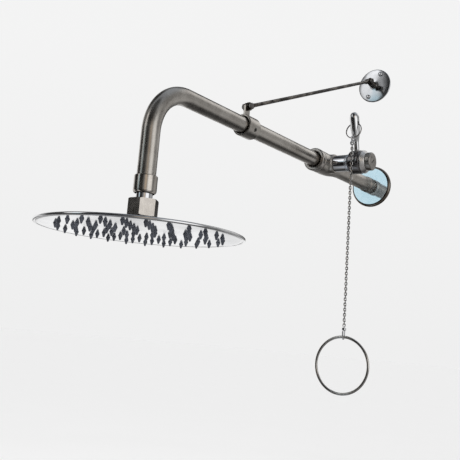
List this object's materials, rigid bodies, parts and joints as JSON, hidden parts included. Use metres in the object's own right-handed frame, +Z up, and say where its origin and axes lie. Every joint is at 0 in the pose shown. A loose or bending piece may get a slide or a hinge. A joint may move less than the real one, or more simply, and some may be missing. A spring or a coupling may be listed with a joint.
{
  "type": "emergency drench shower",
  "caption": "Wall-mounted emergency drench shower: lever ball valve with pull chain and ring, straight arm with a bend, round rain head on a swivel, and a brace rod to a second wall plate.",
  "frame": {"origin": "the arm's axis at the wall plane", "axes": "+Y into the wall, -Y out along the arm, +Z up, +X to the valve lever's side"},
  "size_m": [0.228, 0.7032, 0.5518],
  "materials": {
    "polished_steel": "mirror-polished stainless steel",
    "protective_film": "thin peelable film, light blue",
    "satin_steel": "satin, brushed along the pipe",
    "cast_satin": "satin cast stainless steel",
    "bright_chrome": "bright",
    "dark_steel": "darkened fasteners",
    "gland_brass": "machined",
    "ptfe_seal": "waxy white",
    "black_rubber": "matte",
    "silicone": "dark blue-grey, satin"
  },
  "bodies": {
    "frame": {"wall_flange": "polished_steel", "brace_plate": "polished_steel", "flange_film": "protective_film", "supply_nipple": "satin_steel", "inlet_pipe": "satin_steel", "coupling": "satin_steel", "arm_tube": "satin_steel", "drop_collar": "satin_steel", "brace_lug": "satin_steel", "brace_rod": "satin_steel", "plate_screw_top": "satin_steel", "plate_screw_bottom": "satin_steel", "valve_body": "cast_satin", "body_insert": "cast_satin", "bonnet": "bright_chrome", "ball_stud": "bright_chrome", "set_screw": "dark_steel", "lug_bolt": "dark_steel", "lug_nut": "dark_steel", "knuckle_bolt": "dark_steel", "knuckle_nut": "dark_steel", "gland_nut": "gland_brass", "ball_seat_wall": "ptfe_seal", "ball_seat_arm": "ptfe_seal", "stem_packing": "ptfe_seal"},
    "lever_set": {"valve_ball": "bright_chrome", "valve_stem": "satin_steel", "lever_hub": "cast_satin", "hub_ring": "bright_chrome", "end_cap": "cast_satin", "lever": "bright_chrome"},
    "chain_set": {"split_ring": "bright_chrome", "chain_connector": "bright_chrome", "pull_chain": "satin_steel", "ring_shackle": "bright_chrome"},
    "ring_set": {"pull_ring": "satin_steel"},
    "head_set": {"swivel_nut": "satin_steel", "ball_gasket": "black_rubber", "head_shell": "polished_steel", "face_plate": "polished_steel", "nozzle_mat": "silicone"}
  },
  "joints": [
    {"name": "lever_turn", "type": "hinge", "parent": "frame", "child": "lever_set", "pos_m": [0, -0.168, 0], "axis": [1, 0, 0], "range_deg": [0, 90]},
    {"name": "chain_swing", "type": "hinge", "parent": "lever_set", "child": "chain_set", "pos_m": [0.0547, -0.18496, 0.05547], "axis": [1, 0, 0], "range_deg": [-90, 0]},
    {"name": "ring_swing", "type": "hinge", "parent": "chain_set", "child": "ring_set", "pos_m": [0.06078, -0.18913, -0.2597], "axis": [0.9994, 0.0349, 0], "range_deg": [-80, 80]},
    {"name": "head_tilt", "type": "hinge", "parent": "frame", "child": "head_set", "pos_m": [0, -0.5632, -0.14], "axis": [1, 0, 0], "range_deg": [-10, 10]}
  ],
  "couplings": [
    {"joint": "chain_swing", "follows": "lever_turn", "ratio": -1}
  ]
}
